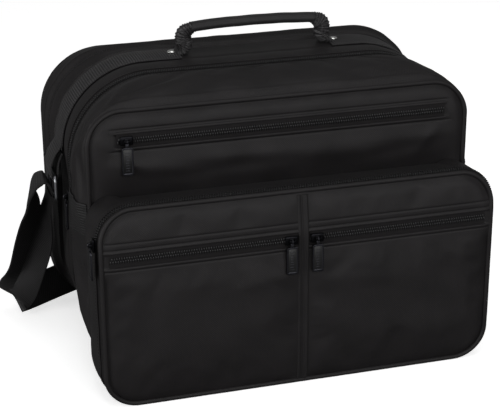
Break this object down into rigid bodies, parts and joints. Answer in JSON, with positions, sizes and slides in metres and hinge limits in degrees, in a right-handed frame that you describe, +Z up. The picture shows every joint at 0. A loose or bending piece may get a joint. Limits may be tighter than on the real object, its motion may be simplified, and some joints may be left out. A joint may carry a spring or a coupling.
{
  "type": "flight bag",
  "caption": "Soft shoulder bag with box front pocket, arched zip-up compartments, piped seams, carry handle and adjustable shoulder strap.",
  "frame": {"origin": "on the floor under the middle of the bag, halfway between the pocket's front and the back panel", "axes": "+X across the bag, +Y from the pocket towards the back, +Z up"},
  "size_m": [0.5246, 0.3652, 0.3302],
  "materials": {
    "shell_fabric": "plain weave polyester",
    "lining": "plain weave lining",
    "stiffener": "plain",
    "zip_chain": "nylon coil",
    "zip_tape": "herringbone tape",
    "gunmetal": "satin dark metal",
    "ring_metal": "dark plated",
    "nickel": "polished nickel",
    "plastic": "moulded acetal",
    "grip": "woven sleeve",
    "webbing": "ribbed webbing",
    "piping": "fabric covered cord"
  },
  "bodies": {
    "bag": {"base_panel": "shell_fabric", "base_board": "stiffener", "back_panel": "shell_fabric", "divider_panel": "shell_fabric", "main_lining": "lining", "slip_pocket": "lining", "front_panel": "shell_fabric", "front_pocket_bag": "lining", "front_gusset": "shell_fabric", "main_zip_tape": "zip_tape", "main_zip_chain": "zip_chain", "zip_strip": "shell_fabric", "centre_strip": "shell_fabric", "rear_gusset": "shell_fabric", "rear_zip_chain": "zip_chain", "front_piping": "piping", "back_piping": "piping", "pocket_panel": "shell_fabric", "pocket_band": "shell_fabric", "pocket_gusset": "shell_fabric", "pocket_top_zip_tape": "zip_tape", "pocket_top_zip_chain": "zip_chain", "pocket_piping": "piping", "left_pocket_zip": "zip_tape", "right_pocket_zip": "zip_tape", "upper_zip": "zip_tape", "left_rib_patch": "webbing", "right_rib_patch": "webbing", "left_webbing_band": "webbing", "right_webbing_band": "webbing", "left_anchor_loop": "webbing", "right_anchor_loop": "webbing", "left_strap_ring": "ring_metal", "right_strap_ring": "ring_metal", "left_strap_end": "webbing", "right_strap_end": "webbing", "handle_tabs": "webbing", "handle_rivets": "nickel"},
    "handle": {"handle_webbing": "webbing", "handle_grip": "grip"},
    "strap": {"shoulder_strap": "webbing", "strap_adjuster": "plastic"},
    "upper_zip_runner": {"upper_slider": "gunmetal"},
    "upper_zip_tab": {"upper_pull": "gunmetal"},
    "left_pocket_zip_runner": {"left_pocket_slider": "gunmetal"},
    "left_pocket_zip_tab": {"left_pocket_pull": "gunmetal"},
    "right_pocket_zip_runner": {"right_pocket_slider": "gunmetal"},
    "right_pocket_zip_tab": {"right_pocket_pull": "gunmetal"},
    "pocket_top_zip_runner": {"pocket_top_slider": "gunmetal"},
    "pocket_top_zip_tab": {"pocket_top_pull": "gunmetal"},
    "main_zip_runner": {"main_slider": "gunmetal"},
    "main_zip_tab": {"main_pull": "gunmetal"},
    "rear_zip_runner": {"rear_slider": "gunmetal"},
    "rear_zip_tab": {"rear_pull": "gunmetal"}
  },
  "joints": [
    {"name": "strap_swing", "type": "hinge", "parent": "bag", "child": "strap", "pos_m": [0, 0.056, 0.165], "axis": [1, 0, 0], "range_deg": [0, 150]},
    {"name": "handle_tilt", "type": "hinge", "parent": "bag", "child": "handle", "pos_m": [0, 0.056, 0.303], "axis": [1, 0, 0], "range_deg": [-75, 75]},
    {"name": "upper_zip_slide", "type": "slide", "parent": "bag", "child": "upper_zip_runner", "axis": [1, 0, 0], "range_m": [0, 0.315]},
    {"name": "left_pocket_zip_slide", "type": "slide", "parent": "bag", "child": "left_pocket_zip_runner", "axis": [-1, 0, 0], "range_m": [0, 0.165]},
    {"name": "right_pocket_zip_slide", "type": "slide", "parent": "bag", "child": "right_pocket_zip_runner", "axis": [1, 0, 0], "range_m": [0, 0.165]},
    {"name": "pocket_top_zip_travel", "type": "hinge", "parent": "bag", "child": "pocket_top_zip_runner", "pos_m": [-0.165, -0.124, 0.171], "axis": [0, 1, 0], "range_deg": [0, 90]},
    {"name": "main_zip_slide", "type": "slide", "parent": "bag", "child": "main_zip_runner", "axis": [0, 0, 1], "range_m": [0, 0.03]},
    {"name": "rear_zip_slide", "type": "slide", "parent": "bag", "child": "rear_zip_runner", "axis": [0, 0, 1], "range_m": [0, 0.024]},
    {"name": "upper_zip_tab_swing", "type": "hinge", "parent": "upper_zip_runner", "child": "upper_zip_tab", "pos_m": [-0.157, -0.0739, 0.251], "axis": [-1, 0, 0], "range_deg": [0, 150]},
    {"name": "left_pocket_zip_tab_swing", "type": "hinge", "parent": "left_pocket_zip_runner", "child": "left_pocket_zip_tab", "pos_m": [-0.013, -0.1399, 0.157], "axis": [-1, 0, 0], "range_deg": [0, 150]},
    {"name": "right_pocket_zip_tab_swing", "type": "hinge", "parent": "right_pocket_zip_runner", "child": "right_pocket_zip_tab", "pos_m": [0.013, -0.1399, 0.157], "axis": [-1, 0, 0], "range_deg": [0, 150]},
    {"name": "pocket_top_zip_tab_swing", "type": "hinge", "parent": "pocket_top_zip_runner", "child": "pocket_top_zip_tab", "pos_m": [-0.2061, -0.124, 0.171], "axis": [0, 1, 0], "range_deg": [0, 150]},
    {"name": "main_zip_tab_swing", "type": "hinge", "parent": "main_zip_runner", "child": "main_zip_tab", "pos_m": [-0.2071, 0, 0.174], "axis": [0, 1, 0], "range_deg": [0, 150]},
    {"name": "rear_zip_tab_swing", "type": "hinge", "parent": "rear_zip_runner", "child": "rear_zip_tab", "pos_m": [-0.20945, 0.103, 0.186], "axis": [0, 1, 0], "range_deg": [0, 90]}
  ]
}
